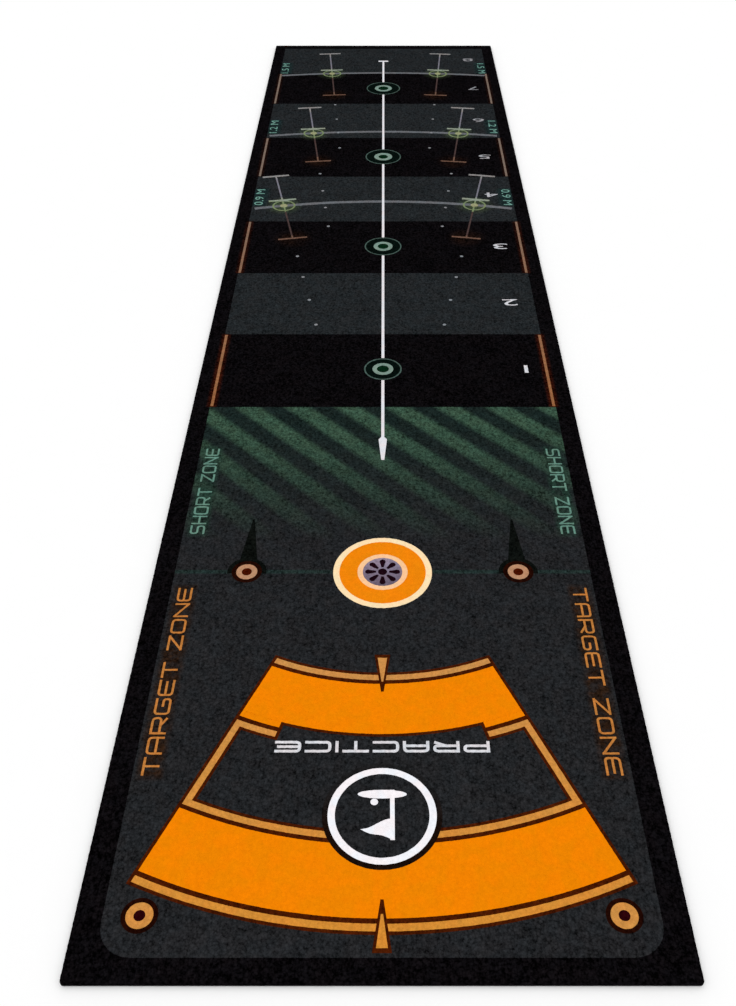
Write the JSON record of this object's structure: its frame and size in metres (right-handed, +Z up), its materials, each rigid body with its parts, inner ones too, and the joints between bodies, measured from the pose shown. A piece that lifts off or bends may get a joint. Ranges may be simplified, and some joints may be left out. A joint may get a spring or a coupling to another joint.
{
  "type": "practice putting mat",
  "caption": "Rubber-backed indoor golf putting mat with a dyed nylon pile: round target, fan of aiming bands, striped zone, numbered distance bands and a centre line.",
  "frame": {"origin": "middle of the underside, on the floor", "axes": "+X across the mat to the right, +Y along the mat from the end with the target to the far end, +Z up out of the pile"},
  "size_m": [0.5, 2.178, 0.005],
  "materials": {
    "rubber": "matte",
    "carrier": "matte",
    "black_pile": "matte",
    "slate_pile": "matte",
    "green_dye": "matte",
    "orange_dye": "matte",
    "amber_dye": "matte",
    "cream_dye": "matte",
    "umber_dye": "matte",
    "white_dye": "matte",
    "mint_dye": "matte",
    "lilac_dye": "matte"
  },
  "bodies": {
    "root": {"rubber_backing": "rubber", "carrier_fabric": "carrier", "left_border_pile": "black_pile", "right_border_pile": "black_pile", "far_border_pile": "black_pile", "near_border_pile": "black_pile", "field_pile": "slate_pile", "band_1_pile": "black_pile", "band_2_pile": "slate_pile", "band_3_pile": "black_pile", "band_4_pile": "slate_pile", "band_5_pile": "black_pile", "band_6_pile": "slate_pile", "band_7_pile": "black_pile", "band_8_pile": "slate_pile", "green_stripe_1": "green_dye", "green_stripe_2": "green_dye", "green_stripe_3": "green_dye", "green_stripe_4": "green_dye", "green_stripe_5": "green_dye", "green_stripe_6": "green_dye", "green_stripe_7": "green_dye", "green_stripe_8": "green_dye", "green_stripe_9": "green_dye", "green_stripe_10": "green_dye", "target_outer_ring": "cream_dye", "target_orange_ring": "orange_dye", "target_inner_ring": "cream_dye", "target_cup": "lilac_dye", "target_shade": "umber_dye", "left_aim_ring": "amber_dye", "left_aim_shade": "umber_dye", "left_corner_ring": "amber_dye", "left_corner_shade": "umber_dye", "right_aim_ring": "amber_dye", "right_aim_shade": "umber_dye", "right_corner_ring": "amber_dye", "right_corner_shade": "umber_dye", "fan_far_line": "amber_dye", "fan_far_band": "orange_dye", "fan_frame_left": "amber_dye", "fan_frame_right": "amber_dye", "fan_near_band": "orange_dye", "fan_near_line": "amber_dye", "fan_far_pointer": "amber_dye", "fan_near_pointer": "amber_dye", "fan_outline": "umber_dye", "emblem_ring": "white_dye", "emblem_flag": "white_dye", "centre_line_1": "white_dye", "centre_line_2": "white_dye", "centre_line_3": "white_dye", "centre_line_4": "white_dye", "centre_line_5": "white_dye", "distance_ring_1": "mint_dye", "distance_ring_3": "mint_dye", "distance_ring_5": "mint_dye", "distance_ring_7": "mint_dye"}
  },
  "joints": []
}
